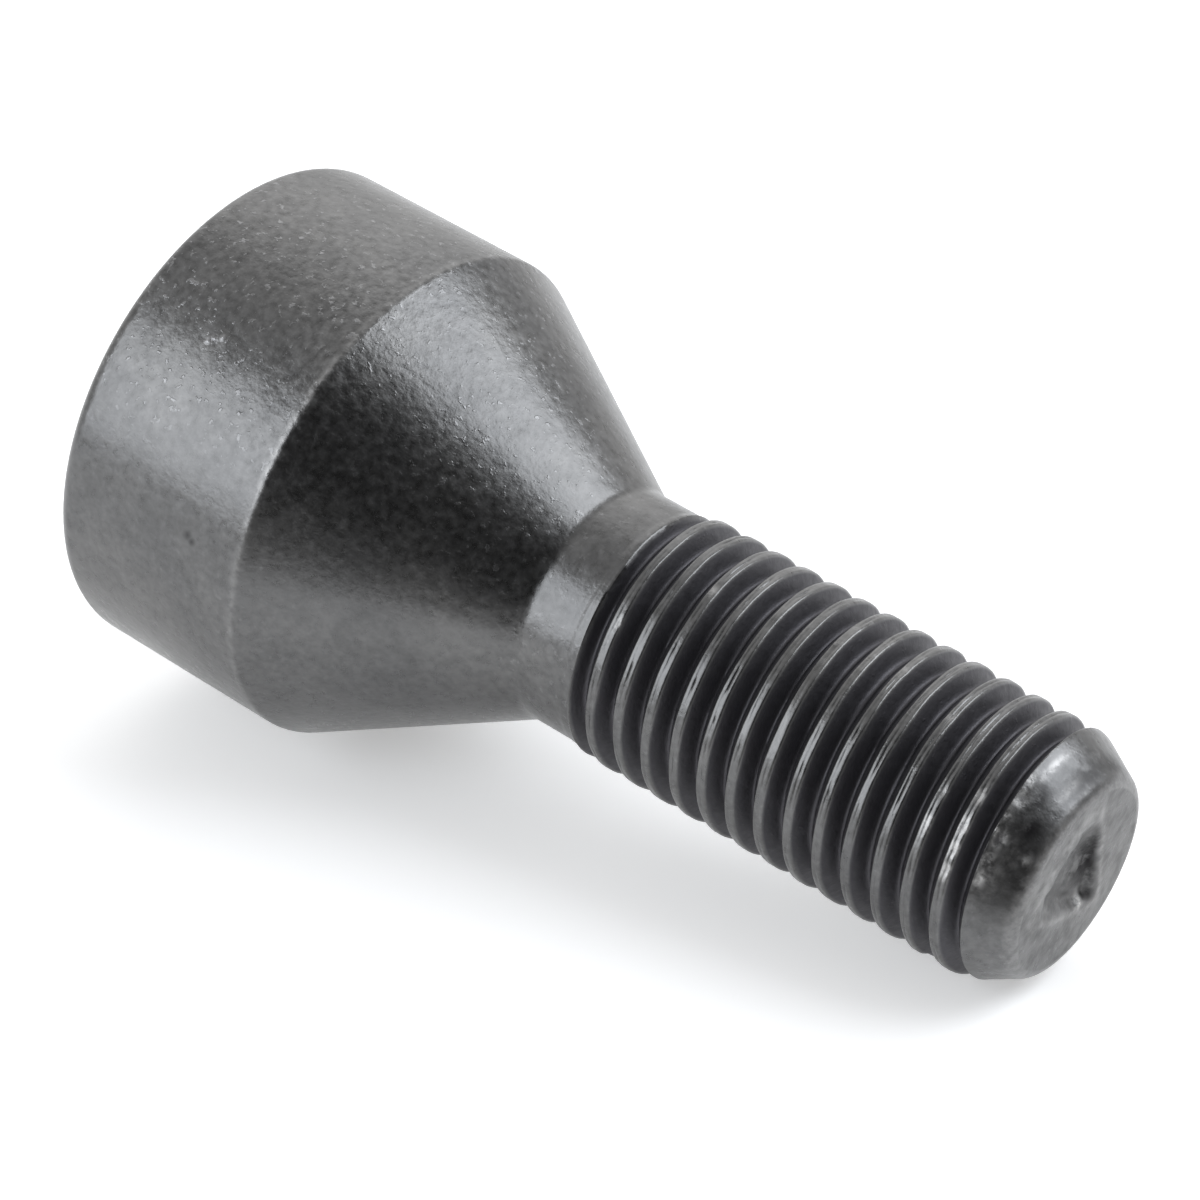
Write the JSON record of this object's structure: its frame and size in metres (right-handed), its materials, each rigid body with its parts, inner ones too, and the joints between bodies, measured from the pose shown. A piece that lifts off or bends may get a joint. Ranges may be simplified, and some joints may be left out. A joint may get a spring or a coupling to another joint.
{
  "type": "lug bolt",
  "caption": "Black steel lug bolt with a round head, a long 60 degree conical seat, a plain neck, a rolled metric fine thread and a hexagon socket in the head's face.",
  "frame": {"origin": "centre of the head's flat face, where the bolt stands", "axes": "+Z along the bolt's axis, from the head's face towards the threaded end; +X points at a corner of the hexagon socket"},
  "size_m": [0.0236, 0.0236, 0.0467],
  "materials": {
    "black_steel": "satin"
  },
  "bodies": {
    "root": {"lug_bolt": "black_steel"}
  },
  "joints": []
}
